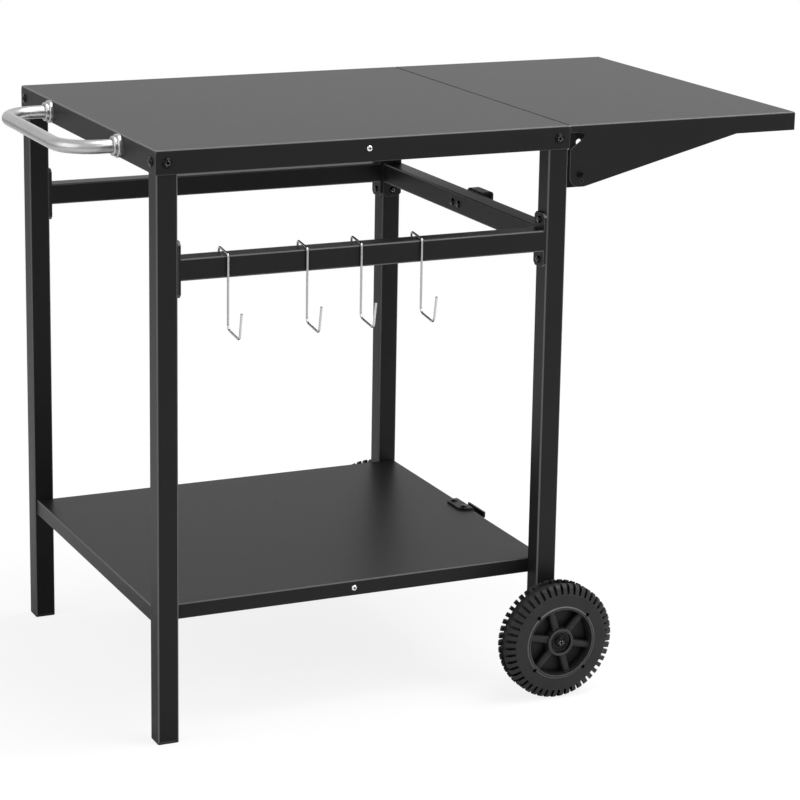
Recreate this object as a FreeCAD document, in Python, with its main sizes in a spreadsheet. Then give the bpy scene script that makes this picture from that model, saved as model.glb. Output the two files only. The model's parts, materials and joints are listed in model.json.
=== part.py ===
import FreeCAD, Part
import math
import os
import re
import Sketcher

Vector = FreeCAD.Vector
doc = FreeCAD.newDocument("kitchen_cart")

# Driving dimensions in millimetres, grouped by the piece that they size.
# The cart's left, front, floor corner is the datum: X right, Y back, Z up.
DIMENSIONS = {
    # folded sheet: worktop, shelf and side table
    "sheet_t": 1.2,
    "bend_r": 2.4,
    "corner_slit": 0.8,
    "corner_notch": 1.2,
    # worktop
    "top_w": 602,
    "top_d": 582,
    "top_z": 815,
    "top_flange": 32.5,
    "top_rib_h": 26,
    # lower shelf, held between the front and back legs
    "shelf_z": 187,
    "shelf_flange": 21.5,
    "shelf_inset": 4.8,
    "shelf_rib_h": 17,
    "rib_w": 44,
    # square tube of the legs and rails
    "tube_w": 30,
    "tube_wall": 1.5,
    "tube_r": 2.6,
    "cap_t": 3,
    "plug_h": 13,
    "plug_gap": 0.2,
    "right_leg_z": 58,
    # rails and their welded end plates
    "rail_z": 670,
    "plate_t": 4,
    "plate_h": 76,
    "plate_corner": 5,
    # push handle on the left flange
    "handle_d": 19,
    "handle_wall": 1.5,
    "handle_span": 298,
    "handle_out": 75,
    "handle_bend": 50,
    "handle_drop": 17,
    "collar_d": 32,
    "collar_t": 6,
    "collar_step_d": 27,
    "collar_step_t": 5,
    "collar_edge_r": 2.2,
    # folding side table
    "seam_gap": 1.2,
    "table_l": 361.3,
    "table_flange": 26.3,
    "hinge_flange": 86.8,
    "table_kink": 265.3,
    "hinge_foot": 23.3,
    "hinge_corner_r": 15,
    "hinge_x": 16,
    "hinge_drop": 69,
    "latch_rise": 54,
    "latch_mouth_low": 52,
    "latch_room": 0.6,
    "lift_hole_d": 4,
    "lift_hole_drop": 9.8,
    # hinge bracket on the right legs
    "pin_d": 7,
    "pin_fit": 0.05,
    "pin_head_d": 9,
    "pin_head_t": 1.8,
    "swing_gap": 0.4,
    "bracket_t": 3,
    "bracket_h": 84.5,
    "bracket_reach": 31,
    "bracket_foot": 24,
    "bracket_pin_z": 18,
    "window_x": 15.9,
    "window_z": 62.7,
    "window_d": 9,
    # wheels and axles
    "wheel_d": 168,
    "wheel_w": 43,
    "wheel_gap": 10.2,
    "hub_well_r": 16.2,
    "hub_well": 8,
    "hub_ring_r": 19.5,
    "hub_ring_y": 1,
    "hub_foot_r": 21.5,
    "dish_r": 45.5,
    "dish_depth": 18.5,
    "lip_r": 49,
    "lip_w": 2.8,
    "rim_r": 1.2,
    "face_step": 1.5,
    "back_hub_r": 18,
    "spoke_count": 6,
    "spoke_w": 11,
    "spoke_r": 4.8,
    "spoke_y": 5,
    "spoke_sink": 0.8,
    "vent_count": 4,
    "vent_x": 31.4,
    "vent_z": 44.9,
    "vent_d": 6,
    "vent_depth": 6,
    "tread_r": 70,
    "shoulder_r": 80,
    "shoulder_y": 4.6,
    "shoulder_bend": 6,
    "tread_y": 10,
    "lug_r": 2.5,
    "band_y": 13.5,
    "lug_count": 48,
    "lug_h": 5,
    "gap_share": 0.45,
    "gap_lip": 1,
    "gap_in": 4.5,
    "gap_over": 2,
    "axle_d": 10,
    "axle_fit": 0.05,
    "washer_d": 29,
    "washer_t": 2,
    "axle_head_d": 16,
    "axle_head_t": 2.5,
    "spacer_d": 19,
    "axle_nut_t": 8,
    "axle_edge_r": 1.2,
    "side_play": 0.3,
    # wire hooks on the front rail
    "wire_d": 3.2,
    "hook_gap": 0.4,
    "hook_back_drop": 16,
    "hook_rise": 4,
    "hook_shank": 101,
    "hook_run": 42,
    "hook_run_drop": 5.5,
    "hook_tip": 37,
    "hook_tip_lean": 7,
    "hook_bend": 4,
    "hook_foot_bend": 8,
    # hanger brackets on the right side
    "hanger_t": 3,
    "hanger_bend": 3.6,
    "upper_hanger_l": 42,
    "upper_hanger_back": 30,
    "upper_hanger_rise": 2,
    "upper_hanger_out": 22,
    "upper_hanger_lip": 15,
    "lower_hanger_l": 54,
    "lower_hanger_plate": 19.5,
    "lower_hanger_corner": 8,
    "lower_hanger_drop": 16,
    "lower_hanger_out": 22.4,
    "lower_hanger_lip_low": 6.3,
}

# Lengths in millimetres that differ by less than this count as equal.
NEAR = 1e-4

# How far the wheels are turned on their axles, in degrees.
WHEEL_TURN = 13.5

# Where each hook hangs along the front rail.
HOOK_PLACES = {"hook_1_x": 100, "hook_2_x": 212.5, "hook_3_x": 291, "hook_4_x": 380}
DIMENSIONS.update(HOOK_PLACES)

dims = doc.addObject("Spreadsheet::Sheet", "Dims")
for row, (alias, amount) in enumerate(DIMENSIONS.items(), start=1):
    dims.set(f"A{row}", alias)
    dims.set(f"B{row}", str(amount))
    dims.setAlias(f"B{row}", alias)
doc.recompute()

# Places that several pieces share, as expressions of the driving dimensions.
LEG_LEFT = "sheet_t"
LEG_RIGHT = "top_w - sheet_t - tube_w"
LEG_FRONT = "sheet_t"
LEG_BACK = "top_d - sheet_t - tube_w"
# The legs stop below the inner radius of the folds and are held by the flanges.
LEG_TOP = "top_z - bend_r"
AXLE_X = "top_w - sheet_t - tube_w / 2"
AXLE_Z = "wheel_d / 2"
MIDDLE_Y = "top_d / 2"
TABLE_X = "top_w + seam_gap"
# The whole cart is centred on its own box: handle grip to side table end, wheel to wheel.
CENTRE_X = "(top_w + seam_gap + table_l - handle_out - handle_d / 2) / 2"


def bound(text):
    """The expression with each dimension's name pointing at its cell."""
    return re.sub(r"[a-z][a-z_0-9]*", lambda word: "Dims." + word.group(0), text)


def size(text):
    """The expression's value in millimetres."""
    return float(dims.evalExpression(bound(str(text))))


def place(piece, x, y, z):
    """Puts a piece's own origin at cart place x, y, z, centred for the whole part."""
    piece.setExpression("Placement.Base.x", bound(f"({x}) - ({CENTRE_X})"))
    piece.setExpression("Placement.Base.y", bound(f"({y}) - ({MIDDLE_Y})"))
    piece.setExpression("Placement.Base.z", bound(str(z)))


def new_body(label):
    body = doc.addObject("PartDesign::Body", label)
    body.Label = label
    return body


def sketch_on(body, plane, offset="0", turn=0.0):
    """A sketch on an origin plane of the body, moved along its normal and turned about its own Y axis."""
    sketch = body.newObject("Sketcher::SketchObject", body.Name + "_sketch")
    support = [feature for feature in body.Origin.OriginFeatures if feature.Role == plane][0]
    sketch.AttachmentSupport = [(support, "")]
    sketch.MapMode = "FlatFace"
    sketch.AttachmentOffset = FreeCAD.Placement(Vector(0, 0, 0), FreeCAD.Rotation(Vector(0, 1, 0), turn))
    sketch.setExpression("AttachmentOffset.Base.z", bound(offset))
    return sketch


def fix_point(sketch, geometry, position, corner):
    """Ties one sketch point to the sheet's dimensions."""
    for kind, text in (("DistanceX", corner[0]), ("DistanceY", corner[1])):
        index = sketch.addConstraint(Sketcher.Constraint(kind, -1, 1, geometry, position, size(text)))
        sketch.setExpression(f"Constraints[{index}]", bound(str(text)))


def angle_of(direction):
    return math.atan2(direction.y, direction.x)


def bent_line(sketch, corners, closed=True):
    """Straight runs through the corners: (x, y) is sharp, (x, y, radius) is rounded by a tangent arc."""
    count = len(corners)
    points = [Vector(size(corner[0]), size(corner[1]), 0) for corner in corners]
    rounds = {}
    for i, corner in enumerate(corners):
        if len(corner) == 3:
            before = (points[i - 1] - points[i]).normalize()
            after = (points[(i + 1) % count] - points[i]).normalize()
            half = before.getAngle(after) / 2
            rounds[i] = (size(corner[2]), before, after, half)

    def tangent_point(i, direction):
        radius, before, after, half = rounds[i]
        return points[i] + (before, after)[direction] * (radius / math.tan(half))

    runs = []
    for i in range(count if closed else count - 1):
        j = (i + 1) % count
        start = tangent_point(i, 1) if i in rounds else points[i]
        end = tangent_point(j, 0) if j in rounds else points[j]
        runs.append(sketch.addGeometry(Part.LineSegment(start, end), False))

    for i, corner in enumerate(corners):
        if not closed and i == 0:
            fix_point(sketch, runs[0], 1, corner)
            continue
        if not closed and i == count - 1:
            fix_point(sketch, runs[-1], 2, corner)
            continue
        run_in = runs[i - 1]
        run_out = runs[i]
        if i not in rounds:
            sketch.addConstraint(Sketcher.Constraint("Coincident", run_in, 2, run_out, 1))
            fix_point(sketch, run_out, 1, corner)
            continue
        radius, before, after, half = rounds[i]
        inward = (before + after).normalize()
        centre = points[i] + inward * (radius / math.sin(half))
        angle_in, angle_out = (angle_of(tangent_point(i, side) - centre) for side in (0, 1))
        turns_left = before.cross(after).z < 0
        span = (angle_in, angle_out) if turns_left else (angle_out, angle_in)
        full_round = Part.Circle(centre, Vector(0, 0, 1), radius)
        arc = sketch.addGeometry(Part.ArcOfCircle(full_round, *span), False)
        first, last = (1, 2) if turns_left else (2, 1)
        sketch.addConstraint(Sketcher.Constraint("Tangent", run_in, 2, arc, first))
        sketch.addConstraint(Sketcher.Constraint("Tangent", run_out, 1, arc, last))
        index = sketch.addConstraint(Sketcher.Constraint("Radius", arc, radius))
        sketch.setExpression(f"Constraints[{index}]", bound(str(corner[2])))
        apex = sketch.addGeometry(Part.Point(points[i]), True)
        sketch.addConstraint(Sketcher.Constraint("PointOnObject", apex, 1, run_in))
        sketch.addConstraint(Sketcher.Constraint("PointOnObject", apex, 1, run_out))
        fix_point(sketch, apex, 1, corner)


def rectangle(sketch, x, y, wide, high, radius=None):
    corners = [(x, y), (f"{x} + {wide}", y), (f"{x} + {wide}", f"{y} + {high}"), (x, f"{y} + {high}")]
    if radius:
        corners = [corner + (radius,) for corner in corners]
    bent_line(sketch, corners)


def circle(sketch, x, y, diameter):
    ring = Part.Circle(Vector(size(x), size(y), 0), Vector(0, 0, 1), size(diameter) / 2)
    index = sketch.addGeometry(ring, False)
    fix_point(sketch, index, 3, (x, y))
    across = sketch.addConstraint(Sketcher.Constraint("Diameter", index, size(diameter)))
    sketch.setExpression(f"Constraints[{across}]", bound(str(diameter)))


def pad(body, sketch, length, reverse=False):
    feature = body.newObject("PartDesign::Pad", body.Name + "_pad")
    feature.Profile = (sketch, [""])
    feature.setExpression("Length", bound(str(length)))
    feature.Reversed = reverse
    doc.recompute()
    return feature


def pocket(body, sketch, length, reverse=False):
    """A cut that must take material away."""
    before = body.Shape.Volume
    feature = body.newObject("PartDesign::Pocket", body.Name + "_pocket")
    feature.Profile = (sketch, [""])
    feature.setExpression("Length", bound(str(length)))
    feature.Reversed = reverse
    doc.recompute()
    if feature.Shape.Volume > before - 0.01:
        raise RuntimeError(f"{body.Label}: {feature.Name} cuts nothing")
    return feature


def revolve(body, sketch, axis):
    feature = body.newObject("PartDesign::Revolution", body.Name + "_revolution")
    feature.Profile = (sketch, [""])
    feature.ReferenceAxis = (sketch, [axis])
    feature.Angle = 360
    doc.recompute()
    return feature


def pipe(body, profile, path):
    feature = body.newObject("PartDesign::AdditivePipe", body.Name + "_pipe")
    feature.Profile = (profile, [""])
    feature.Spine = (path, [])
    doc.recompute()
    return feature


def dress(body, kind, base, amount, test):
    """A fillet or chamfer on the base feature's edges that pass the test."""
    names = [f"Edge{i}" for i, edge in enumerate(base.Shape.Edges, start=1) if test(edge)]
    feature = body.newObject("PartDesign::" + kind, f"{body.Name}_{kind.lower()}")
    feature.Base = (base, names)
    feature.setExpression("Radius" if kind == "Fillet" else "Size", bound(str(amount)))
    doc.recompute()
    return feature


def polar(body, originals, count):
    """Repeats features round the body's own Y axis."""
    feature = body.newObject("PartDesign::PolarPattern", body.Name + "_pattern")
    feature.Originals = originals
    axis = [item for item in body.Origin.OriginFeatures if item.Role == "Y_Axis"][0]
    feature.Axis = (axis, [""])
    feature.Angle = 360
    feature.setExpression("Occurrences", bound(str(count)))
    body.Tip = feature
    doc.recompute()
    return feature


def mirrored(label, source):
    """The same piece on the back of the cart."""
    piece = doc.addObject("Part::Mirroring", label)
    piece.Label = label
    piece.Source = source
    piece.Base = Vector(0, 0, 0)
    piece.Normal = Vector(0, 1, 0)
    return piece


def level_edge(edge, height):
    """True for an edge that lies flat at one height."""
    box = edge.BoundBox
    return abs(box.ZMin - height) < NEAR and abs(box.ZMax - height) < NEAR


# Folded pans

def make_pan(label, long, deep, flange):
    """A sheet with its four edges folded down, slit at the corners and relieved at the bends."""
    body = new_body(label)
    outside = sketch_on(body, "XY_Plane")
    rectangle(outside, "0", "0", long, deep)
    block = pad(body, outside, flange)
    dress(body, "Fillet", block, "bend_r", lambda edge: level_edge(edge, size(flange)))

    inside = sketch_on(body, "XY_Plane")
    rectangle(inside, "sheet_t", "sheet_t", f"{long} - 2 * sheet_t", f"{deep} - 2 * sheet_t")
    hollow = pocket(body, inside, f"{flange} - sheet_t", reverse=True)
    under = size(f"{flange} - sheet_t")
    dress(body, "Fillet", hollow, "bend_r - sheet_t", lambda edge: level_edge(edge, under))

    slits = sketch_on(body, "XY_Plane")
    for x in ("0", f"{long} - sheet_t"):
        for y in ("sheet_t", f"{deep} - sheet_t - corner_slit"):
            rectangle(slits, x, y, "sheet_t", "corner_slit")
    pocket(body, slits, f"{flange} - bend_r", reverse=True)

    notches = sketch_on(body, "XY_Plane", flange)
    for x in ("0", long):
        for y in ("0", deep):
            circle(notches, x, y, "2 * corner_notch")
    pocket(body, notches, "2 * bend_r")
    return body


def make_rib(label, high, deep):
    """A channel under a pan, open upward, running from front to back."""
    body = new_body(label)
    section = sketch_on(body, "XZ_Plane")
    bent_line(section, [
        ("0", "0", "bend_r"),
        ("rib_w", "0", "bend_r"),
        ("rib_w", high),
        ("rib_w - sheet_t", high),
        ("rib_w - sheet_t", "sheet_t", "bend_r - sheet_t"),
        ("sheet_t", "sheet_t", "bend_r - sheet_t"),
        ("sheet_t", high),
        ("0", high),
    ])
    pad(body, section, deep, reverse=True)
    return body


main_top = make_pan("main_top", "top_w", "top_d", "top_flange")
place(main_top, "0", "0", "top_z - top_flange")

top_rib = make_rib("top_rib", "top_rib_h", "top_d - 2 * bend_r")
place(top_rib, "top_w / 2 - rib_w / 2", "bend_r", "top_z - sheet_t - top_rib_h")

SHELF_W = "top_w - 2 * shelf_inset"
SHELF_Y = "sheet_t + tube_w"
SHELF_D = "(top_d - 2 * sheet_t - 2 * tube_w)"
lower_shelf = make_pan("lower_shelf", SHELF_W, SHELF_D, "shelf_flange")
place(lower_shelf, "shelf_inset", SHELF_Y, "shelf_z - shelf_flange")

shelf_rib = make_rib("shelf_rib", "shelf_rib_h", f"{SHELF_D} - 2 * bend_r")
place(shelf_rib, "top_w / 2 - rib_w / 2", f"{SHELF_Y} + bend_r", "shelf_z - sheet_t - shelf_rib_h")


# Legs, feet and rails

def tube_section(sketch, x="0", y="0"):
    """Square tube with rounded corners, as two outlines."""
    rectangle(sketch, x, y, "tube_w", "tube_w", "tube_r")
    bore = "tube_w - 2 * tube_wall"
    rectangle(sketch, f"{x} + tube_wall", f"{y} + tube_wall", bore, bore, "tube_r - tube_wall")


def make_leg(label, bottom, axle=False):
    body = new_body(label)
    section = sketch_on(body, "XY_Plane")
    tube_section(section)
    pad(body, section, f"{LEG_TOP} - ({bottom})")
    if axle:
        hole = sketch_on(body, "XZ_Plane")
        circle(hole, "tube_w / 2", f"{AXLE_Z} - ({bottom})", "axle_d")
        pocket(body, hole, "tube_w")
    return body


def make_cap(label):
    """A plastic end cap: a plate as wide as the tube and a plug inside it."""
    body = new_body(label)
    sole = sketch_on(body, "XY_Plane")
    rectangle(sole, "0", "0", "tube_w", "tube_w", "tube_r")
    plate = pad(body, sole, "cap_t")
    dress(body, "Fillet", plate, "cap_t / 3", lambda edge: level_edge(edge, 0))
    stem = sketch_on(body, "XY_Plane", "cap_t")
    inset = "tube_wall + plug_gap"
    plug_w = "tube_w - 2 * tube_wall - 2 * plug_gap"
    rectangle(stem, inset, inset, plug_w, plug_w, "tube_r - tube_wall")
    pad(body, stem, "plug_h")
    return body


for side_name, leg_x, bottom, has_axle in (
    ("left", LEG_LEFT, "cap_t", False),
    ("right", LEG_RIGHT, "right_leg_z", True),
):
    for row_name, leg_y in (("front", LEG_FRONT), ("back", LEG_BACK)):
        leg = make_leg(f"leg_{row_name}_{side_name}", bottom, has_axle)
        place(leg, leg_x, leg_y, bottom)
        cap = make_cap(f"leg_cap_{row_name}_{side_name}")
        place(cap, leg_x, leg_y, f"{bottom} - cap_t")


def make_rail(label, span):
    """A square tube along X with a cut-cornered plate welded on each end."""
    body = new_body(label)
    section = sketch_on(body, "YZ_Plane", "plate_t")
    tube_section(section, y="plate_h / 2 - tube_w / 2")
    pad(body, section, f"{span} - 2 * plate_t")
    for offset in ("0", f"{span} - plate_t"):
        plate = sketch_on(body, "YZ_Plane", offset)
        bent_line(plate, [
            ("plate_corner", "0"),
            ("tube_w - plate_corner", "0"),
            ("tube_w", "plate_corner"),
            ("tube_w", "plate_h - plate_corner"),
            ("tube_w - plate_corner", "plate_h"),
            ("plate_corner", "plate_h"),
            ("0", "plate_h - plate_corner"),
            ("0", "plate_corner"),
        ])
        pad(body, plate, "plate_t")
    return body


RAIL_SPAN_X = "(top_w - 2 * sheet_t - 2 * tube_w)"
RAIL_SPAN_Y = "(top_d - 2 * sheet_t - 2 * tube_w)"
RAIL_BOTTOM = "rail_z - tube_w / 2 - plate_h / 2"
front_rail = make_rail("front_rail", RAIL_SPAN_X)
place(front_rail, "sheet_t + tube_w", LEG_FRONT, RAIL_BOTTOM)
back_rail = make_rail("back_rail", RAIL_SPAN_X)
place(back_rail, "sheet_t + tube_w", LEG_BACK, RAIL_BOTTOM)
right_rail = make_rail("right_rail", RAIL_SPAN_Y)
right_rail.Placement = FreeCAD.Placement(Vector(0, 0, 0), FreeCAD.Rotation(Vector(0, 0, 1), 90))
place(right_rail, "top_w - sheet_t", "sheet_t + tube_w", RAIL_BOTTOM)


# Push handle

def make_handle():
    """A bent tube whose two roots stand on the left flange."""
    body = new_body("handle_tube")
    ring = sketch_on(body, "YZ_Plane")
    circle(ring, "0", "0", "handle_d")
    circle(ring, "0", "0", "handle_d - 2 * handle_wall")
    route = sketch_on(body, "XY_Plane")
    bent_line(route, [
        ("0", "0"),
        ("-handle_out", "0", "handle_bend"),
        ("-handle_out", "handle_span", "handle_bend"),
        ("0", "handle_span"),
    ], closed=False)
    pipe(body, ring, route)
    return body


def make_collar(label):
    """A stepped trim ring round one root of the handle."""
    body = new_body(label)
    section = sketch_on(body, "XY_Plane")
    bent_line(section, [
        ("0", "handle_d / 2"),
        ("0", "collar_d / 2"),
        ("-collar_t", "collar_d / 2", "collar_edge_r"),
        ("-collar_t", "collar_step_d / 2"),
        ("-collar_t - collar_step_t", "collar_step_d / 2", "collar_edge_r"),
        ("-collar_t - collar_step_t", "handle_d / 2"),
    ])
    revolve(body, section, "H_Axis")
    return body


HANDLE_Z = "top_z - handle_drop"
handle = make_handle()
place(handle, "0", f"{MIDDLE_Y} - handle_span / 2", HANDLE_Z)
for row_name, sign in (("front", "-"), ("back", "+")):
    collar = make_collar(f"handle_collar_{row_name}")
    place(collar, "0", f"{MIDDLE_Y} {sign} handle_span / 2", HANDLE_Z)


# Folding side table and its hinge brackets

HINGE_Z = "(hinge_flange - hinge_drop)"
LATCH_Z = f"({HINGE_Z} + latch_rise)"
LATCH_R = "(pin_d / 2 + latch_room)"


def make_side_table():
    """A pan with front and back flanges that deepen towards a hinge hole and an open latch slot."""
    body = new_body("side_table")
    outline = sketch_on(body, "XZ_Plane")
    bent_line(outline, [
        ("0", "hinge_flange"),
        ("0", "0", "hinge_corner_r"),
        ("hinge_foot", "0", "hinge_corner_r"),
        ("table_kink", "hinge_flange - table_flange", "hinge_corner_r"),
        ("table_l", "hinge_flange - table_flange"),
        ("table_l", "hinge_flange"),
    ])
    block = pad(body, outline, "top_d", reverse=True)

    def folded_edge(edge):
        on_hinge_side = edge.BoundBox.XMax < NEAR
        return level_edge(edge, size("hinge_flange")) and not on_hinge_side

    dress(body, "Fillet", block, "bend_r", folded_edge)
    inside = sketch_on(body, "XZ_Plane", "-sheet_t")
    bent_line(inside, [
        ("-table_flange", "-table_flange"),
        ("table_l - sheet_t", "-table_flange"),
        ("table_l - sheet_t", "hinge_flange - sheet_t"),
        ("-table_flange", "hinge_flange - sheet_t"),
    ])
    hollow = pocket(body, inside, "top_d - 2 * sheet_t")
    under = size("hinge_flange - sheet_t")

    def inner_fold(edge):
        return level_edge(edge, under) and edge.BoundBox.XMax > NEAR

    dress(body, "Fillet", hollow, "bend_r - sheet_t", inner_fold)

    holes = sketch_on(body, "XZ_Plane")
    circle(holes, "hinge_x", HINGE_Z, "pin_d + 2 * pin_fit")
    circle(holes, "hinge_x + pin_d / 2", f"{HINGE_Z} - lift_hole_drop", "lift_hole_d")
    bent_line(holes, [
        ("-latch_room", f"{LATCH_Z} + {LATCH_R}"),
        (f"hinge_x + {LATCH_R}", f"{LATCH_Z} + {LATCH_R}", LATCH_R),
        (f"hinge_x + {LATCH_R}", f"{LATCH_Z} - {LATCH_R}", "pin_d / 2"),
        ("-latch_room", "latch_mouth_low"),
    ])
    pocket(body, holes, "top_d")
    return body


def make_hinge_bracket(label):
    """A plate on the leg with a wing inside the flange, two pins and a window by the upper pin."""
    body = new_body(label)
    clear = "(sheet_t + swing_gap)"
    step = "(bracket_pin_z + hinge_drop - top_flange - bend_r)"
    wing = sketch_on(body, "XZ_Plane", "-swing_gap")
    bent_line(wing, [
        ("0", "0"),
        ("bracket_reach", "0", "hinge_corner_r"),
        ("bracket_reach", "bracket_h", "hinge_corner_r"),
        (clear, "bracket_h"),
        (clear, step),
        ("0", step),
    ])
    circle(wing, "window_x", "window_z", "window_d")
    pad(body, wing, "bracket_t", reverse=True)
    foot = sketch_on(body, "YZ_Plane")
    rectangle(foot, "swing_gap", "0", "bracket_foot", step)
    pad(body, foot, "bracket_t")

    pin_x = "sheet_t + seam_gap + hinge_x"
    for pin_z in ("bracket_pin_z", "bracket_pin_z + latch_rise"):
        shank = sketch_on(body, "XZ_Plane", "-swing_gap - bracket_t")
        circle(shank, pin_x, pin_z, "pin_d")
        pad(body, shank, "bracket_t + 2 * swing_gap + sheet_t")
        head = sketch_on(body, "XZ_Plane", "sheet_t + swing_gap")
        circle(head, pin_x, pin_z, "pin_head_d")
        pad(body, head, "pin_head_t")
    return body


side_table = make_side_table()
place(side_table, TABLE_X, "0", "top_z - hinge_flange")
hinge_bracket = make_hinge_bracket("hinge_bracket_front")
place(hinge_bracket, "top_w - sheet_t", LEG_FRONT, "top_z - hinge_drop - bracket_pin_z")
mirrored("hinge_bracket_back", hinge_bracket)


# Wheels and axles

def make_wheel(label):
    """A moulded wheel: hub ring, deep dishes with round spokes, smooth band between two rows of lugs."""
    body = new_body(label)
    outer = "wheel_d / 2"
    band_r = f"({outer} - lug_h)"
    bore = "axle_d / 2 + axle_fit"
    back_hub = "wheel_w - side_play"
    section = sketch_on(body, "XY_Plane")
    bent_line(section, [
        (bore, "hub_well"),
        ("hub_well_r", "hub_well"),
        ("hub_well_r", "hub_ring_y", "rim_r"),
        ("hub_ring_r", "hub_ring_y", "rim_r"),
        ("hub_foot_r", "dish_depth"),
        ("dish_r", "dish_depth"),
        ("lip_r", "0", "rim_r"),
        ("lip_r + lip_w", "0", "rim_r"),
        ("lip_r + lip_w + face_step", "face_step"),
        ("tread_r", "face_step"),
        ("shoulder_r", "shoulder_y", "shoulder_bend"),
        (outer, "tread_y", "lug_r"),
        (outer, "band_y"),
        (band_r, "band_y"),
        (band_r, "wheel_w - band_y"),
        (outer, "wheel_w - band_y"),
        (outer, "wheel_w - tread_y", "lug_r"),
        ("shoulder_r", "wheel_w - shoulder_y", "shoulder_bend"),
        ("tread_r", "wheel_w - face_step"),
        ("lip_r", "wheel_w - face_step"),
        ("dish_r", "wheel_w - dish_depth"),
        ("hub_foot_r", "wheel_w - dish_depth"),
        ("back_hub_r", back_hub),
        (bore, back_hub),
    ])
    revolve(body, section, "V_Axis")

    def on_side(corner, far):
        """The corner on the near face, or mirrored to the far face."""
        y = f"wheel_w - ({corner[0]})" if far else corner[0]
        return (y,) + corner[1:]

    spokes = []
    for far in (False, True):
        arch = sketch_on(body, "YZ_Plane", "hub_ring_r - spoke_sink")
        corners = [
            ("dish_depth + spoke_sink", "-spoke_w / 2"),
            ("spoke_y", "-spoke_w / 2", "spoke_r"),
            ("spoke_y", "spoke_w / 2", "spoke_r"),
            ("dish_depth + spoke_sink", "spoke_w / 2"),
        ]
        bent_line(arch, [on_side(corner, far) for corner in corners])
        spokes.append(pad(body, arch, "lip_r - hub_ring_r"))
    polar(body, spokes, "spoke_count")

    vent = sketch_on(body, "XZ_Plane")
    circle(vent, "vent_x", "vent_z", "vent_d")
    polar(body, [pocket(body, vent, "vent_depth")], "vent_count")

    half_pitch = 180 / size("lug_count")
    gaps = []
    for far in (False, True):
        gap = sketch_on(body, "XY_Plane", turn=half_pitch if far else 0.0)
        corners = [
            ("-gap_over", "tread_r + gap_lip"),
            ("face_step + gap_in", "tread_r + gap_lip"),
            ("band_y", band_r),
            ("band_y", f"{outer} + gap_over"),
            ("-gap_over", f"{outer} + gap_over"),
        ]
        sides = [on_side(corner, far) for corner in corners]
        bent_line(gap, [(radius, y) for y, radius in sides])
        cut = body.newObject("PartDesign::Groove", body.Name + "_groove")
        cut.Profile = (gap, [""])
        cut.ReferenceAxis = (gap, ["V_Axis"])
        cut.setExpression("Angle", bound("360 / lug_count * gap_share"))
        doc.recompute()
        gaps.append(cut)
    polar(body, gaps, "lug_count")
    return body


def make_axle(label):
    """A shoulder bolt: washer and head in the hub, spacer between wheel and leg, nut behind the leg."""
    body = new_body(label)
    section = sketch_on(body, "XY_Plane")
    shank_r = "axle_d / 2"
    washer_r = "washer_d / 2"
    head_r = "axle_head_d / 2"
    spacer_r = "spacer_d / 2"
    seat_y = "hub_well - side_play"
    washer_y = f"{seat_y} - washer_t"
    head_y = f"{washer_y} - axle_head_t"
    leg_y = "wheel_w + wheel_gap"
    nut_y = f"{leg_y} + tube_w"
    bent_line(section, [
        ("0", head_y),
        (head_r, head_y, "axle_edge_r"),
        (head_r, washer_y),
        (washer_r, washer_y),
        (washer_r, seat_y),
        (shank_r, seat_y),
        (shank_r, "wheel_w"),
        (spacer_r, "wheel_w"),
        (spacer_r, leg_y),
        (shank_r, leg_y),
        (shank_r, nut_y),
        (spacer_r, nut_y),
        (spacer_r, f"{nut_y} + axle_nut_t", "axle_edge_r"),
        ("0", f"{nut_y} + axle_nut_t"),
    ])
    revolve(body, section, "V_Axis")
    return body


WHEEL_Y = "sheet_t - wheel_gap - wheel_w"
wheel = make_wheel("wheel_front")
wheel.Placement = FreeCAD.Placement(Vector(0, 0, 0), FreeCAD.Rotation(Vector(0, 1, 0), WHEEL_TURN))
place(wheel, AXLE_X, WHEEL_Y, AXLE_Z)
mirrored("wheel_back", wheel)
axle = make_axle("axle_front")
place(axle, AXLE_X, WHEEL_Y, AXLE_Z)
mirrored("axle_back", axle)


# Wire hooks on the front rail

def make_hook(label):
    """One bent wire: over the rail, down in front of it, forward and up."""
    body = new_body(label)
    over = "(tube_w + 2 * hook_gap + wire_d)"
    wire = sketch_on(body, "XY_Plane")
    circle(wire, "0", "0", "wire_d")
    route = sketch_on(body, "YZ_Plane")
    front_z = "hook_back_drop - hook_rise"
    foot_z = f"{front_z} - hook_shank"
    bent_line(route, [
        ("0", "0"),
        ("0", "hook_back_drop", "hook_bend"),
        (f"-{over}", front_z, "hook_bend"),
        (f"-{over}", foot_z, "hook_foot_bend"),
        (f"-{over} - hook_run", f"{foot_z} - hook_run_drop", "hook_foot_bend"),
        (f"-{over} - hook_run - hook_tip_lean", f"{foot_z} - hook_run_drop + hook_tip"),
    ], closed=False)
    pipe(body, wire, route)
    return body


for number, hook_x in enumerate(HOOK_PLACES, start=1):
    hook = make_hook(f"hook_{number}")
    back_y = "sheet_t + tube_w + hook_gap + wire_d / 2"
    back_z = "rail_z + hook_gap + wire_d / 2 + hook_rise - hook_back_drop"
    place(hook, hook_x, back_y, back_z)


# Hanger brackets on the right side

def make_upper_hanger():
    """A strip up the right rail's outer face that folds out above it and down into a lip."""
    body = new_body("hanger_upper")
    lip_in = "upper_hanger_out - hanger_t"
    inner_bend = "hanger_bend - hanger_t"
    section = sketch_on(body, "XZ_Plane")
    bent_line(section, [
        ("0", "-upper_hanger_back"),
        ("hanger_t", "-upper_hanger_back"),
        ("hanger_t", "-hanger_t", inner_bend),
        (lip_in, "-hanger_t", inner_bend),
        (lip_in, "-upper_hanger_lip"),
        ("upper_hanger_out", "-upper_hanger_lip"),
        ("upper_hanger_out", "0", "hanger_bend"),
        ("0", "0", "hanger_bend"),
    ])
    pad(body, section, "upper_hanger_l", reverse=True)
    return body


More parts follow.
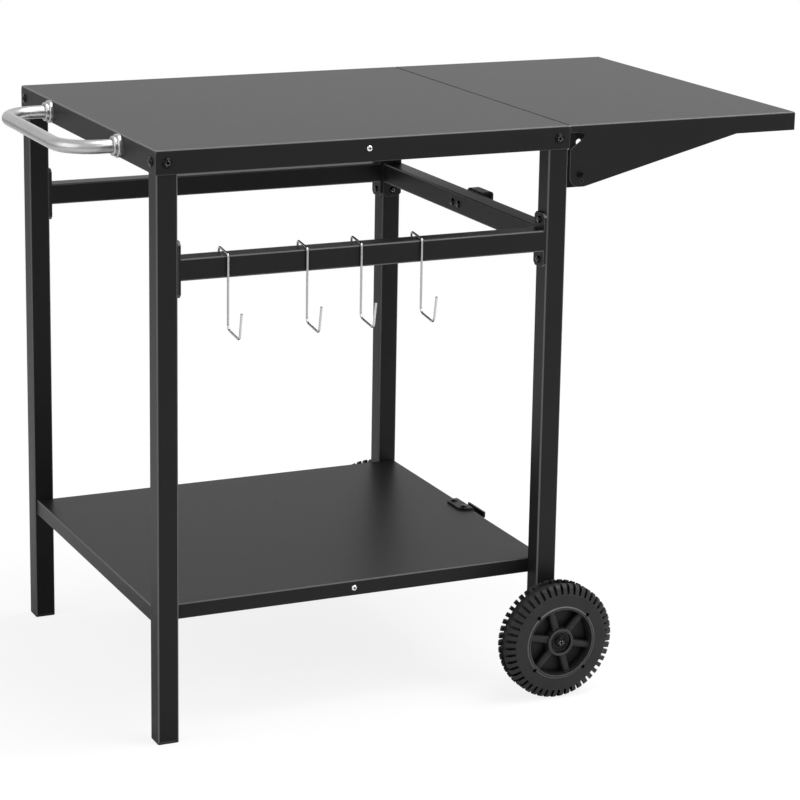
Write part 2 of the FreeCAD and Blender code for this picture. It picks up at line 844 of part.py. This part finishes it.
def make_lower_hanger():
    """A plate on the shelf's right edge that folds down past the flange and up again into a short lip."""
    body = new_body("hanger_lower")
    drop_in = "swing_gap"
    drop_out = "swing_gap + hanger_t"
    lip_in = "lower_hanger_out - hanger_t"
    lip_out = "lower_hanger_out"
    section = sketch_on(body, "XZ_Plane")
    bent_line(section, [
        ("-lower_hanger_plate", "0"),
        (drop_in, "0"),
        (drop_in, "-lower_hanger_drop", "hanger_bend"),
        (lip_out, "-lower_hanger_drop", "hanger_bend"),
        (lip_out, "-lower_hanger_lip_low"),
        (lip_in, "-lower_hanger_lip_low"),
        (lip_in, "hanger_t - lower_hanger_drop", "hanger_bend - hanger_t"),
        (drop_out, "hanger_t - lower_hanger_drop", "hanger_bend - hanger_t"),
        (drop_out, "hanger_t", "hanger_bend"),
        ("-lower_hanger_plate", "hanger_t"),
    ])
    strip = pad(body, section, "lower_hanger_l", reverse=True)
    inner_x = -size("lower_hanger_plate")

    def plate_corner(edge):
        box = edge.BoundBox
        stands = box.ZLength > 1 and box.XLength < NEAR and box.YLength < NEAR
        return stands and abs(box.XMin - inner_x) < NEAR

    dress(body, "Chamfer", strip, "lower_hanger_corner", plate_corner)
    return body


upper_hanger = make_upper_hanger()
place(upper_hanger, "top_w - sheet_t", f"{MIDDLE_Y} - upper_hanger_l / 2", "rail_z + upper_hanger_rise")
lower_hanger = make_lower_hanger()
place(lower_hanger, "top_w - shelf_inset", f"{MIDDLE_Y} - lower_hanger_l / 2", "shelf_z")


# Check and write every piece
doc.recompute()
for item in doc.Objects:
    if "Invalid" in item.State or "Error" in item.State:
        raise RuntimeError(f"{item.Name}: {item.State}")
pieces = [item for item in doc.Objects if item.isDerivedFrom("PartDesign::Body")]
pieces += [item for item in doc.Objects if item.isDerivedFrom("Part::Mirroring")]
for piece in pieces:
    if piece.Shape.isNull() or not piece.Shape.isValid():
        raise RuntimeError(f"{piece.Label}: no valid shape")
os.makedirs("parts", exist_ok=True)
for piece in pieces:
    piece.Shape.exportStep(f"parts/{piece.Label}.step")
    box = piece.Shape.BoundBox
    lows = f"{box.XMin:8.2f} {box.YMin:8.2f} {box.ZMin:8.2f}"
    highs = f"{box.XMax:8.2f} {box.YMax:8.2f} {box.ZMax:8.2f}"
    volume = piece.Shape.Volume / 1000
    print(f"{piece.Label:22s} solids {len(piece.Shape.Solids)}  {volume:8.2f} cm3  {lows}  {highs}")
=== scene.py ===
import json
import math

import bmesh
import bpy
from mathutils import Matrix, Vector


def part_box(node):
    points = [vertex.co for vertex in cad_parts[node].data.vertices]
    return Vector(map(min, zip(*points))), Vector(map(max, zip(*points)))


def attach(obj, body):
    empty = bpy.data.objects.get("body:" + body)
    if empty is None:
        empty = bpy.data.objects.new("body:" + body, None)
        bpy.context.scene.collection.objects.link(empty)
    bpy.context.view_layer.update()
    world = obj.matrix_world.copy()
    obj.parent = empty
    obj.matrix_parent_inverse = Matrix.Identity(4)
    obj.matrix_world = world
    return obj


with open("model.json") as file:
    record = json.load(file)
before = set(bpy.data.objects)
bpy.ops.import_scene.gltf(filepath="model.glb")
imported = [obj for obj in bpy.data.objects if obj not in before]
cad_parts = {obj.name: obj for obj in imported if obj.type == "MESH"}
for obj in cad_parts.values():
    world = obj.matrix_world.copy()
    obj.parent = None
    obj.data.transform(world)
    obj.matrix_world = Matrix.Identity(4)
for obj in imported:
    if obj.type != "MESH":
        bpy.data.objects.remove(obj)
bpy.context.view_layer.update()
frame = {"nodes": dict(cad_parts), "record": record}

MM = 0.001


# Shader building blocks

def new_finish(name):
    """A material with its node tree and its surface shader."""
    material = bpy.data.materials.new(name)
    material.use_nodes = True
    tree = material.node_tree
    return material, tree, tree.nodes["Principled BSDF"]


def feed(tree, value, socket):
    """Links another node's output to the socket, or sets the socket to a plain value."""
    if isinstance(value, bpy.types.NodeSocket):
        tree.links.new(value, socket)
    else:
        socket.default_value = value


def maths(tree, operation, *values):
    """One number made from the values."""
    node = tree.nodes.new("ShaderNodeMath")
    node.operation = operation
    for value, socket in zip(values, node.inputs):
        feed(tree, value, socket)
    return node.outputs["Value"]


def vector_maths(tree, operation, *vectors):
    """One number made from the vectors."""
    node = tree.nodes.new("ShaderNodeVectorMath")
    node.operation = operation
    for vector, socket in zip(vectors, node.inputs):
        feed(tree, vector, socket)
    return node.outputs["Value"]


def surface_place(tree, stretch=(1, 1, 1), move=(0, 0, 0)):
    """Object coordinates in metres, stretched along the axes and then moved."""
    coordinates = tree.nodes.new("ShaderNodeTexCoord")
    mapping = tree.nodes.new("ShaderNodeMapping")
    mapping.inputs["Scale"].default_value = stretch
    mapping.inputs["Location"].default_value = move
    tree.links.new(coordinates.outputs["Object"], mapping.inputs["Vector"])
    return mapping.outputs["Vector"]


def normal_parts(tree):
    """How far the surface faces along the piece's X, Y and Z, whichever way round."""
    coordinates = tree.nodes.new("ShaderNodeTexCoord")
    split = tree.nodes.new("ShaderNodeSeparateXYZ")
    tree.links.new(coordinates.outputs["Normal"], split.inputs["Vector"])
    return [maths(tree, "ABSOLUTE", split.outputs[axis]) for axis in "XYZ"]


def noise(tree, grains=1, detail=2, stretch=(1, 1, 1)):
    """Random grain from 0 to 1, with so many grains to the metre before the stretch."""
    texture = tree.nodes.new("ShaderNodeTexNoise")
    texture.inputs["Scale"].default_value = grains
    texture.inputs["Detail"].default_value = detail
    tree.links.new(surface_place(tree, stretch), texture.inputs["Vector"])
    return texture.outputs["Fac"]


def spread(tree, value, low=0, high=1, start=0.3, end=0.7):
    """The value between start and end, spread over low to high."""
    node = tree.nodes.new("ShaderNodeMapRange")
    node.inputs["From Min"].default_value = start
    node.inputs["From Max"].default_value = end
    node.inputs["To Min"].default_value = low
    node.inputs["To Max"].default_value = high
    tree.links.new(value, node.inputs["Value"])
    return node.outputs["Result"]


def colour_between(tree, share, first, second):
    """The first colour where the share is 0 and the second where it is 1."""
    node = tree.nodes.new("ShaderNodeMix")
    node.data_type = "RGBA"
    tree.links.new(share, node.inputs["Factor"])
    for name, colour in (("A", first), ("B", second)):
        socket = [item for item in node.inputs if item.name == name and item.type == "RGBA"][0]
        feed(tree, (*colour, 1) if isinstance(colour, tuple) else colour, socket)
    return [item for item in node.outputs if item.type == "RGBA"][0]


def raise_grain(tree, shader, height, strength, depth):
    """Fine relief on the surface, depth in metres."""
    bump = tree.nodes.new("ShaderNodeBump")
    bump.inputs["Strength"].default_value = strength
    bump.inputs["Distance"].default_value = depth
    tree.links.new(height, bump.inputs["Height"])
    tree.links.new(bump.outputs["Normal"], shader.inputs["Normal"])


def edge_mask(tree, radius):
    """1 on sharp edges and 0 on flats, from the angle between the true and the rounded normal."""
    rounded = tree.nodes.new("ShaderNodeBevel")
    rounded.samples = 6
    rounded.inputs["Radius"].default_value = radius
    geometry = tree.nodes.new("ShaderNodeNewGeometry")
    closeness = vector_maths(tree, "DOT_PRODUCT", rounded.outputs["Normal"], geometry.outputs["Normal"])
    return spread(tree, closeness, low=1, high=0, start=0.8, end=0.99)


def fold_mask(tree):
    """1 on rounded folds and corners and 0 on flats that face along an axis of the piece."""
    x_part, y_part, z_part = normal_parts(tree)
    largest = maths(tree, "MAXIMUM", maths(tree, "MAXIMUM", x_part, y_part), z_part)
    return spread(tree, largest, low=1, high=0, start=0.93, end=0.995)


def hollow_mask(tree, reach):
    """1 deep in dishes, slots and wells and 0 on open faces, from how much is near within the reach."""
    openness = tree.nodes.new("ShaderNodeAmbientOcclusion")
    openness.samples = 8
    openness.only_local = True
    openness.inputs["Distance"].default_value = reach
    return spread(tree, openness.outputs["AO"], low=1, high=0, start=0.4, end=0.85)


# Radii on the wheel's face, between its hub ring, its spokes, its dish lip and its lugs
HUB_RING_R = 21 * MM
SPOKE_END_R = 47.5 * MM
LUG_FOOT_R = 56.5 * MM
RING_BLUR = 0.5 * MM


def wheel_rim_mask(tree):
    """1 on the rounded rims of the wheels' hub ring and dish, and 0 elsewhere."""
    axle_part = normal_parts(tree)[1]
    not_wall = spread(tree, axle_part, start=0.5, end=0.6)
    not_face = spread(tree, axle_part, low=1, high=0, start=0.85, end=0.94)
    slopes = maths(tree, "MULTIPLY", not_wall, not_face)

    low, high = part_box("wheel_front")
    axle = (low + high) / 2
    from_axle = surface_place(tree, stretch=(1, 0, 1), move=(-axle.x, 0, -axle.z))
    radius = vector_maths(tree, "LENGTH", from_axle)

    def inside(limit):
        return spread(tree, radius, low=1, high=0, start=limit - RING_BLUR, end=limit + RING_BLUR)

    past_spokes = maths(tree, "SUBTRACT", 1.0, inside(SPOKE_END_R))
    dish_lip = maths(tree, "MULTIPLY", past_spokes, inside(LUG_FOOT_R))
    rings = maths(tree, "MAXIMUM", inside(HUB_RING_R), dish_lip)
    return maths(tree, "MULTIPLY", slopes, rings)


# Finishes

def powder_coat(name, dark, pale, fold_highlight, edge_tone, specular):
    """Satin black powder coat: orange peel and faint clouds; folds get the fold tone as a painted highlight
    and are smoother; sharp edges get the edge tone, which is worn coat with a painted highlight in the main
    coat and painted shade on the hangers.
    """
    material, tree, shader = new_finish(name)
    cloud = spread(tree, noise(tree, grains=14, detail=3))
    coat = colour_between(tree, cloud, dark, pale)
    folds = fold_mask(tree)
    # Painted highlight: rounded folds are painted paler
    with_fold_highlight = colour_between(tree, folds, coat, fold_highlight)
    # Sharp edges take the edge tone: worn coat with a painted highlight in the main coat, painted shade on
    # the hangers, a paler edge on the shaded bracket copy
    edge_toned = colour_between(tree, edge_mask(tree, radius=1.6 * MM), with_fold_highlight, edge_tone)
    tree.links.new(edge_toned, shader.inputs["Base Color"])
    dull = spread(tree, noise(tree, grains=420, detail=3), low=0.365, high=0.395)
    fold_polish = -0.16
    tree.links.new(maths(tree, "MULTIPLY_ADD", folds, fold_polish, dull), shader.inputs["Roughness"])
    shader.inputs["Specular IOR Level"].default_value = specular
    orange_peel = noise(tree, grains=1300, detail=1)
    raise_grain(tree, shader, orange_peel, strength=0.10, depth=0.25 * MM)
    return material


def satin_stainless(dark, pale):
    """Stainless tube, linished along its length."""
    material, tree, shader = new_finish("satin_stainless")
    lines = noise(tree, detail=3, stretch=(1500, 25, 1500))
    tree.links.new(colour_between(tree, spread(tree, lines), dark, pale), shader.inputs["Base Color"])
    smears = spread(tree, noise(tree, grains=60, detail=3), low=0.26, high=0.38)
    tree.links.new(smears, shader.inputs["Roughness"])
    shader.inputs["Metallic"].default_value = 1
    shader.inputs["Anisotropic"].default_value = 0.4
    raise_grain(tree, shader, lines, strength=0.08, depth=0.1 * MM)
    return material


def bright_wire(dark, pale):
    """Drawn and plated hook wire with faint lengthwise lines."""
    material, tree, shader = new_finish("bright_wire")
    lines = noise(tree, stretch=(2600, 2600, 40))
    tree.links.new(colour_between(tree, spread(tree, lines), dark, pale), shader.inputs["Base Color"])
    smears = spread(tree, noise(tree, grains=120), low=0.12, high=0.2)
    tree.links.new(smears, shader.inputs["Roughness"])
    shader.inputs["Metallic"].default_value = 1
    raise_grain(tree, shader, lines, strength=0.05, depth=0.05 * MM)
    return material


def moulded_plastic(name, grains, dark, pale, rims=None):
    """Black moulded plastic with a spark-eroded grain, painted shade in its hollows, a painted highlight on
    the rims where given, and scuffed edges.
    """
    material, tree, shader = new_finish(name)
    cloud = spread(tree, noise(tree, grains=30, detail=4))
    body = colour_between(tree, cloud, dark, pale)
    # Painted shade: hollows, dishes and slots are painted near black
    tone = colour_between(tree, hollow_mask(tree, reach=20 * MM), body, BLACK_AND_HOLLOW_SHADE)
    if rims:
        # Painted highlight: the wheels' rounded hub and dish rims are painted paler
        tone = colour_between(tree, rims(tree), tone, EDGE_AND_RIM_HIGHLIGHT)
    tone = colour_between(tree, edge_mask(tree, radius=1.0 * MM), tone, SCUFFED_EDGE)
    tree.links.new(tone, shader.inputs["Base Color"])
    dull = spread(tree, noise(tree, grains=80, detail=3), low=0.48, high=0.62)
    tree.links.new(dull, shader.inputs["Roughness"])
    shader.inputs["Specular IOR Level"].default_value = 0.22
    raise_grain(tree, shader, noise(tree, grains), strength=0.18, depth=0.2 * MM)
    return material


def plated_steel(name, dark, pale, edge_metal, roughness, worn_reach=2.2 * MM):
    """Plated fastener steel with a mottled tone and another tone on its edges: worn metal, pale enough on
    the black screws to stand as a painted glint.
    """
    material, tree, shader = new_finish(name)
    mottle = spread(tree, noise(tree, grains=500, detail=3))
    plate = colour_between(tree, mottle, dark, pale)
    edge_toned = colour_between(tree, edge_mask(tree, worn_reach), plate, edge_metal)
    tree.links.new(edge_toned, shader.inputs["Base Color"])
    low, high = roughness
    tree.links.new(spread(tree, noise(tree, grains=900), low, high), shader.inputs["Roughness"])
    shader.inputs["Metallic"].default_value = 1
    raise_grain(tree, shader, noise(tree, grains=2200), strength=0.06, depth=0.05 * MM)
    return material


DARK_COAT = (0.0096, 0.0097, 0.0099)
PALE_COAT = (0.0108, 0.0109, 0.0112)
# Painted highlight on rounded folds
PAINTED_FOLD_HIGHLIGHT = (0.095, 0.095, 0.096)
# Painted highlight on the coat's sharp edges, where the coat is also worn, and on the wheels' rims
EDGE_AND_RIM_HIGHLIGHT = (0.09, 0.09, 0.091)
SCUFFED_EDGE = (0.05, 0.05, 0.051)
# Painted shade tones for the bracket copy and the hangers' edges
SHADED_COAT = (0.004, 0.004, 0.0041)
SHADED_EDGE = (0.016, 0.016, 0.0162)
DARK_PLASTIC = (0.010, 0.010, 0.010)
PALE_PLASTIC = (0.014, 0.014, 0.014)
# Near black: the rivets' own dark tone, and painted shade in the plastic's hollows
BLACK_AND_HOLLOW_SHADE = (0.002, 0.002, 0.002)
DARK_ZINC = (0.008, 0.008, 0.008)
PALE_ZINC = (0.014, 0.014, 0.014)
WORN_ZINC = (0.06, 0.06, 0.06)
DARK_STAINLESS = (0.30, 0.30, 0.298)
PALE_STAINLESS = (0.44, 0.44, 0.437)
DARK_WIRE = (0.36, 0.36, 0.363)
PALE_WIRE = (0.48, 0.48, 0.484)
BARE_STEEL = (0.6, 0.6, 0.59)
PALE_STEEL = (0.7, 0.7, 0.69)
# Worn bare metal, pale enough to act as a painted glint
WORN_METAL_GLINT = (0.92, 0.92, 0.91)

FINISHES = {
    "powder_coat": powder_coat("powder_coat", DARK_COAT, PALE_COAT, PAINTED_FOLD_HIGHLIGHT, EDGE_AND_RIM_HIGHLIGHT, specular=0.1),
    "stainless": satin_stainless(DARK_STAINLESS, PALE_STAINLESS),
    "bright_wire": bright_wire(DARK_WIRE, PALE_WIRE),
    "wheel_plastic": moulded_plastic("wheel_plastic", 2200, DARK_PLASTIC, PALE_PLASTIC, wheel_rim_mask),
    "cap_plastic": moulded_plastic("cap_plastic", 3000, DARK_PLASTIC, PALE_PLASTIC),
    "zinc_steel": plated_steel("zinc_steel", DARK_ZINC, PALE_ZINC, WORN_ZINC, roughness=(0.28, 0.4)),
}
# The hinge brackets get a copy of the coat painted darker all over, painted shade for the gap beside the
# legs; the hangers' sharp edges are painted darker as painted shade on their sides, and their folds get no
# painted highlight
SHADED_BRACKET_COAT = powder_coat("bracket_painted_shade", SHADED_COAT, DARK_COAT, DARK_COAT, SHADED_EDGE, specular=0.03)
HANGER_SHADED_EDGE_COAT = powder_coat("hanger_painted_shade_edges", DARK_COAT, PALE_COAT, DARK_COAT, SHADED_COAT, specular=0.1)
# Painted glint: the black screws' recess edges and rims are near-white worn metal
BLACK_SCREW = plated_steel("black_screw", DARK_ZINC, PALE_ZINC, WORN_METAL_GLINT, (0.06, 0.12), 1.5 * MM)
BRIGHT_SCREW = plated_steel("bright_screw", BARE_STEEL, PALE_STEEL, BARE_STEEL, roughness=(0.15, 0.25))
RIVET_BLACK = plated_steel("rivet_black", BLACK_AND_HOLLOW_SHADE, DARK_ZINC, WORN_ZINC, roughness=(0.3, 0.4))

for part in frame["record"]["subparts"]:
    finish = FINISHES[part["material_slot"]]
    if part["node"].startswith("hinge_bracket"):
        finish = SHADED_BRACKET_COAT
    if part["node"].startswith("hanger"):
        finish = HANGER_SHADED_EDGE_COAT
    slots = frame["nodes"][part["node"]].data.materials
    slots.clear()
    slots.append(finish)


# Screw, bolt and rivet heads, with sizes as shares of the head's radius and height

HEAD_SIDES = 12
CROSS_REACH = 0.45
CROWN_REACH = 0.55
DOME_STEPS = ((0.76, 0.2), (0.91, 0.45), (1.0, 0.78), (1.0, 1.0))
RECESS_TAPER = 0.7
RECESS_DEPTH = 0.55
TURN_PER_HEAD = 0.7
SHARP_ANGLE = math.radians(38)


def of_kind(items, kind):
    """The vertices or the edges among what an operator made."""
    return [item for item in items if isinstance(item, kind)]


def pan_head(radius, height):
    """A domed head with a cross recess, standing on the XY plane and facing +Z."""
    head = bmesh.new()
    cross = radius * CROSS_REACH
    bmesh.ops.create_grid(head, x_segments=3, y_segments=3, size=cross)
    corners = [face for face in head.faces if min(map(abs, face.calc_center_median().xy)) > cross / 3]
    bmesh.ops.delete(head, geom=corners, context="FACES")
    recess = list(head.faces)
    rim = [edge for edge in head.edges if edge.is_boundary]
    crown = bmesh.ops.create_circle(head, segments=HEAD_SIDES, radius=radius * CROWN_REACH)["verts"]
    ring_edges = list({edge for vert in crown for edge in vert.link_edges})
    bmesh.ops.bridge_loops(head, edges=rim + ring_edges)
    for reach, drop in DOME_STEPS:
        step = bmesh.ops.extrude_edge_only(head, edges=ring_edges)["geom"]
        ring = of_kind(step, bmesh.types.BMVert)
        ring_edges = [edge for edge in of_kind(step, bmesh.types.BMEdge) if edge.is_boundary]
        growth = reach * radius / max(vert.co.xy.length for vert in ring)
        bmesh.ops.scale(head, verts=ring, vec=Vector((growth, growth, 1)))
        for vert in ring:
            vert.co.z = -drop * height
    sunk = bmesh.ops.extrude_face_region(head, geom=recess)["geom"]
    floor = of_kind(sunk, bmesh.types.BMVert)
    bmesh.ops.delete(head, geom=[face for face in recess if face.is_valid], context="FACES_ONLY")
    bmesh.ops.scale(head, verts=floor, vec=Vector((RECESS_TAPER, RECESS_TAPER, 1)))
    bmesh.ops.translate(head, verts=floor, vec=Vector((0, 0, -RECESS_DEPTH * height)))
    bmesh.ops.translate(head, verts=head.verts, vec=Vector((0, 0, height)))
    bmesh.ops.recalc_face_normals(head, faces=head.faces)
    return head


def rivet_head(radius, height):
    """A plain low dome, standing on the XY plane and facing +Z."""
    head = bmesh.new()
    bmesh.ops.create_uvsphere(head, u_segments=24, v_segments=12, radius=radius)
    whole = list(head.verts) + list(head.edges) + list(head.faces)
    bmesh.ops.bisect_plane(head, geom=whole, plane_no=Vector((0, 0, 1)), clear_inner=True)
    bmesh.ops.scale(head, verts=head.verts, vec=Vector((1, 1, height / radius)))
    return head


def fasten(name, finish, seats, radius, height, shape=pan_head):
    """One piece holding a head on each seat, a seat being a place and the way that the head faces."""
    group = bmesh.new()
    for count, (place, outward) in enumerate(seats):
        head = shape(radius, height)
        facing = Vector(outward).to_track_quat("Z", "Y").to_matrix().to_4x4()
        spin = Matrix.Rotation(TURN_PER_HEAD * count, 4, "Z")
        bmesh.ops.transform(head, matrix=Matrix.Translation(place) @ facing @ spin, verts=head.verts)
        single = bpy.data.meshes.new("head")
        head.to_mesh(single)
        head.free()
        group.from_mesh(single)
        bpy.data.meshes.remove(single)
    mesh = bpy.data.meshes.new(name)
    group.to_mesh(mesh)
    group.free()
    mesh.materials.append(finish)
    mesh.shade_smooth()
    mesh.set_sharp_from_angle(angle=SHARP_ANGLE)
    piece = bpy.data.objects.new(name, mesh)
    bpy.context.scene.collection.objects.link(piece)
    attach(piece, "cart_frame")


# Where the heads sit: drops from a top face, insets from an end, gaps from the middle of the cart

LEGS = ("leg_front_left", "leg_back_left", "leg_front_right", "leg_back_right")
FLANGE_SCREW_DROP = 17 * MM
RIB_SCREW_DROP = 14.5 * MM
RAIL_PLATE_T = 4 * MM
RAIL_BOLT_INSET = 10 * MM
UPPER_HANGER_BOLT_GAP = 10 * MM
LOWER_HANGER_BOLT_GAP = 16.5 * MM
LOWER_HANGER_BOLT_INSET = 10 * MM
HINGE_PIN_INSET = 18.4 * MM
HINGE_PIN_RISES = (18 * MM, 72 * MM)

top_low, top_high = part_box("main_top")
shelf_low, shelf_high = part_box("lower_shelf")


def flange_screw_seats():
    """A screw on each leg's front or back, and another on the left of the two left legs."""
    seats = []
    level = top_high.z - FLANGE_SCREW_DROP
    for leg in LEGS:
        low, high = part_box(leg)
        centre = (low + high) / 2
        edge_y, way = (top_low.y, -1) if "front" in leg else (top_high.y, 1)
        seats.append((Vector((centre.x, edge_y, level)), (0, way, 0)))
        if "left" in leg:
            seats.append((Vector((top_low.x, centre.y, level)), (-1, 0, 0)))
    return seats


def rib_screw_seats():
    """A screw at each end of the channels under the worktop and the shelf."""
    seats = []
    rib_x = sum(corner.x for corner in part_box("top_rib")) / 2
    shelf_drop = (shelf_high.z - shelf_low.z) / 2
    for low, high, drop in ((top_low, top_high, RIB_SCREW_DROP), (shelf_low, shelf_high, shelf_drop)):
        seats.append((Vector((rib_x, low.y, high.z - drop)), (0, -1, 0)))
        seats.append((Vector((rib_x, high.y, high.z - drop)), (0, 1, 0)))
    return seats


def rail_bolt_seats():
    """Two bolts, one above the other, in the plate at each end of each rail."""
    seats = []
    for rail, axis in (("front_rail", 0), ("back_rail", 0), ("right_rail", 1)):
        low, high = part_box(rail)
        for end, way in ((low[axis] + RAIL_PLATE_T, 1), (high[axis] - RAIL_PLATE_T, -1)):
            for level in (low.z + RAIL_BOLT_INSET, high.z - RAIL_BOLT_INSET):
                place = (low + high) / 2
                place[axis] = end
                place.z = level
                outward = [0, 0, 0]
                outward[axis] = way
                seats.append((place, outward))
    return seats


def hanger_bolt_seats():
    """Two bolts through the right rail into the upper hanger, and two down through the lower one."""
    seats = []
    rail_low, rail_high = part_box("right_rail")
    rail_middle = (rail_low.z + rail_high.z) / 2
    plate_low, plate_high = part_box("hanger_lower")
    plate_x = plate_low.x + LOWER_HANGER_BOLT_INSET
    for side in (-1, 1):
        seats.append((Vector((rail_low.x, side * UPPER_HANGER_BOLT_GAP, rail_middle)), (-1, 0, 0)))
        seats.append((Vector((plate_x, side * LOWER_HANGER_BOLT_GAP, plate_high.z)), (0, 0, 1)))
    return seats


def outer_face(node, way):
    """The middle of a node's box, moved to its front where the way is -1 or its back where it is 1."""
    low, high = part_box(node)
    face = (low + high) / 2
    face.y = low.y if way < 0 else high.y
    return face


def hub_screw_seats():
    """A screw in the end of each wheel's shoulder bolt."""
    return [(outer_face(axle, way), (0, way, 0)) for axle, way in (("axle_front", -1), ("axle_back", 1))]


def hinge_rivet_seats():
    """A cap on the lower and on the upper pin of each hinge bracket."""
    seats = []
    for bracket, way in (("hinge_bracket_front", -1), ("hinge_bracket_back", 1)):
        corner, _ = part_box(bracket)
        face_y = outer_face(bracket, way).y
        for rise in HINGE_PIN_RISES:
            seats.append((Vector((corner.x + HINGE_PIN_INSET, face_y, corner.z + rise)), (0, way, 0)))
    return seats


fasten("flange_screws", BLACK_SCREW, flange_screw_seats(), radius=7.2 * MM, height=2.8 * MM)
fasten("rib_screws", BRIGHT_SCREW, rib_screw_seats(), radius=4.2 * MM, height=1.8 * MM)
fasten("rail_bolts", BLACK_SCREW, rail_bolt_seats(), radius=5.2 * MM, height=2.6 * MM)
fasten("hanger_bolts", BLACK_SCREW, hanger_bolt_seats(), radius=5.6 * MM, height=2.4 * MM)
fasten("hub_screws", BLACK_SCREW, hub_screw_seats(), radius=7.2 * MM, height=2.6 * MM)
fasten("hinge_rivets", RIVET_BLACK, hinge_rivet_seats(), radius=4.5 * MM, height=1.2 * MM,
       shape=rivet_head)


# Studio: pale floor, white surroundings and soft lamps

def white_surroundings(level):
    """White to the camera and in reflections, and a plain soft level for the rest."""
    world = bpy.data.worlds.new("studio")
    bpy.context.scene.world = world
    world.use_nodes = True
    tree = world.node_tree
    background = tree.nodes["Background"]
    background.inputs["Color"].default_value = (1, 1, 1, 1)
    path = tree.nodes.new("ShaderNodeLightPath")
    seen = path.outputs["Is Camera Ray"]
    for ray in ("Is Glossy Ray", "Is Transmission Ray"):
        seen = maths(tree, "MAXIMUM", seen, path.outputs[ray])
    strength = spread(tree, seen, low=level, high=1, start=0, end=1)
    tree.links.new(strength, background.inputs["Strength"])


def pale_floor(reach, shadow_reach, whiteness):
    """A round white floor that keeps the shadow near the cart and fades into the white around it."""
    disc = bmesh.new()
    bmesh.ops.create_circle(disc, cap_ends=True, segments=96, radius=reach)
    mesh = bpy.data.meshes.new("floor")
    disc.to_mesh(mesh)
    disc.free()
    floor = bpy.data.objects.new("floor", mesh)
    bpy.context.scene.collection.objects.link(floor)
    material, tree, shader = new_finish("pale_floor")
    shader.inputs["Base Color"].default_value = (0.9, 0.9, 0.9, 1)
    shader.inputs["Roughness"].default_value = 0.9
    shader.inputs["Specular IOR Level"].default_value = 0.1
    white = tree.nodes.new("ShaderNodeEmission")
    distance = vector_maths(tree, "LENGTH", surface_place(tree))
    fade = spread(tree, distance, low=whiteness, high=1, start=shadow_reach / 2, end=shadow_reach)
    path = tree.nodes.new("ShaderNodeLightPath")
    mix = tree.nodes.new("ShaderNodeMixShader")
    tree.links.new(maths(tree, "MULTIPLY", fade, path.outputs["Is Camera Ray"]), mix.inputs["Fac"])
    tree.links.new(shader.outputs["BSDF"], mix.inputs[1])
    tree.links.new(white.outputs["Emission"], mix.inputs[2])
    tree.links.new(mix.outputs["Shader"], tree.nodes["Material Output"].inputs["Surface"])
    mesh.materials.append(material)


def soft_lamp(name, place, target, width, power):
    """A square lamp at the place, turned to the target."""
    light = bpy.data.lights.new(name, "AREA")
    light.shape = "SQUARE"
    light.size = width
    light.energy = power
    lamp = bpy.data.objects.new(name, light)
    lamp.location = place
    lamp.rotation_euler = (Vector(target) - Vector(place)).to_track_quat("-Z", "Y").to_euler()
    bpy.context.scene.collection.objects.link(lamp)


CART_MIDDLE = (0, 0, 0.5)
SIDE_TABLE_FOOT = (0.4, 0, 0.5)

white_surroundings(level=0.5)
pale_floor(reach=30, shadow_reach=2.4, whiteness=0.84)
soft_lamp("top_lamp", place=(1.2, -0.3, 3.3), target=CART_MIDDLE, width=2.4, power=130)
soft_lamp("left_lamp", place=(-2.9, -0.6, 1.7), target=CART_MIDDLE, width=2.6, power=34)
soft_lamp("right_lamp", place=(1.9, -2.3, 2.2), target=SIDE_TABLE_FOOT, width=2.4, power=36)
soft_lamp("glint_lamp", place=(0.6, -3.2, 3.0), target=CART_MIDDLE, width=0.35, power=9)


# Camera at the photograph's angle

CAMERA_PLACE = (-1.6089, -3.5685, 1.4330)
CAMERA_AZIMUTH = math.radians(-24.859)
CAMERA_DOWN = math.radians(13.555)
CAMERA_ROLL = math.radians(-0.977)
CAMERA_LENS = 123.45
CAMERA_SHIFT_Y = -0.1

camera_data = bpy.data.cameras.new("camera")
camera_data.lens = CAMERA_LENS
camera_data.shift_y = CAMERA_SHIFT_Y
camera = bpy.data.objects.new("camera", camera_data)
turn = Matrix.Rotation(CAMERA_AZIMUTH, 4, "Z")
tilt = Matrix.Rotation(math.radians(90) - CAMERA_DOWN, 4, "X")
roll = Matrix.Rotation(-CAMERA_ROLL, 4, "Z")
camera.matrix_world = Matrix.Translation(CAMERA_PLACE) @ turn @ tilt @ roll
bpy.context.scene.collection.objects.link(camera)
bpy.context.scene.camera = camera
bpy.context.scene.view_settings.view_transform = "Standard"
